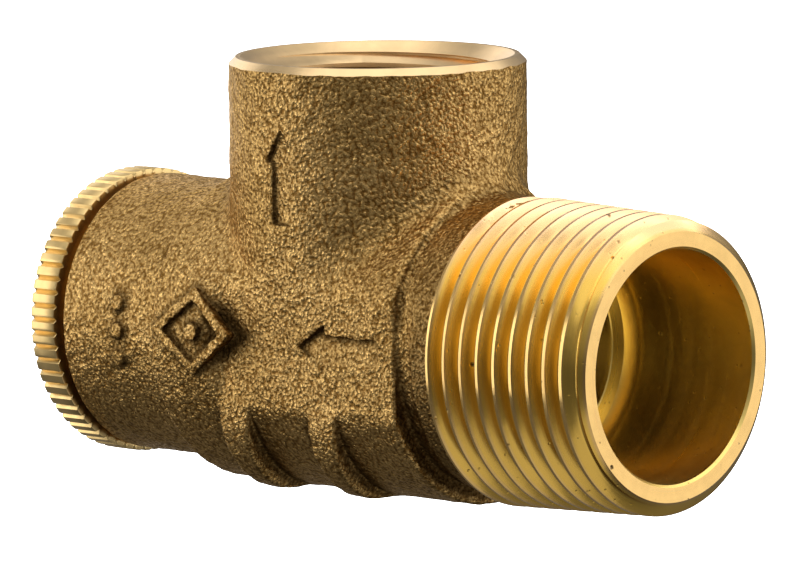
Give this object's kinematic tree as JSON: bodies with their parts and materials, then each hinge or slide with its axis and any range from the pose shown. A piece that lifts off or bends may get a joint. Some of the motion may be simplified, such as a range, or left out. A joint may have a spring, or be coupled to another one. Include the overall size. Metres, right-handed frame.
{
  "type": "pressure relief valve",
  "caption": "Angle pressure relief valve with a tapered male inlet, a threaded female outlet, a spring-loaded seat disc and a knurled adjusting cap.",
  "frame": {"origin": "centre of the flat end face of the male threaded inlet", "axes": "+X out of the inlet along the run, so the body lies towards -X; +Z along the outlet, out of its mouth; +Y across the wrench flats"},
  "size_m": [0.0635, 0.0268, 0.0376],
  "materials": {
    "cast_bronze": "as-cast, fine sand texture",
    "machined_brass": "turned and lightly polished",
    "stainless": "satin",
    "black_rubber": "matt",
    "white_ptfe": "waxy",
    "natural_nylon": "satin"
  },
  "bodies": {
    "valve": {"valve_body": "cast_bronze"},
    "poppet": {"disc_holder": "machined_brass", "seat_disc": "black_rubber", "disc_washer": "stainless", "disc_screw": "stainless", "guide_stem": "stainless", "stem_clip": "stainless", "spring_step": "stainless"},
    "button": {"spring_button": "machined_brass", "stem_bushing": "white_ptfe", "thrust_washer": "natural_nylon", "main_spring": "stainless"},
    "cap": {"adjusting_cap": "machined_brass", "cap_o_ring": "black_rubber"}
  },
  "joints": [
    {"name": "poppet_lift", "type": "slide", "parent": "valve", "child": "poppet", "axis": [-1, 0, 0], "range_m": [0, 0.0035], "stiffness_N_per_m": 12000, "springref_m": -0.0005, "deforming": ["main_spring"]},
    {"name": "cap_advance", "type": "slide", "parent": "valve", "child": "button", "axis": [1, 0, 0], "range_m": [-0.0038, 0.0008], "deforming": ["main_spring"]},
    {"name": "cap_turn", "type": "hinge", "parent": "button", "child": "cap", "pos_m": [-0.06223, 0, 0], "axis": [1, 0, 0], "range_deg": [-1080, 228]}
  ],
  "couplings": [
    {"joint": "cap_turn", "follows": "cap_advance", "rad_per_m": 4947.4}
  ]
}
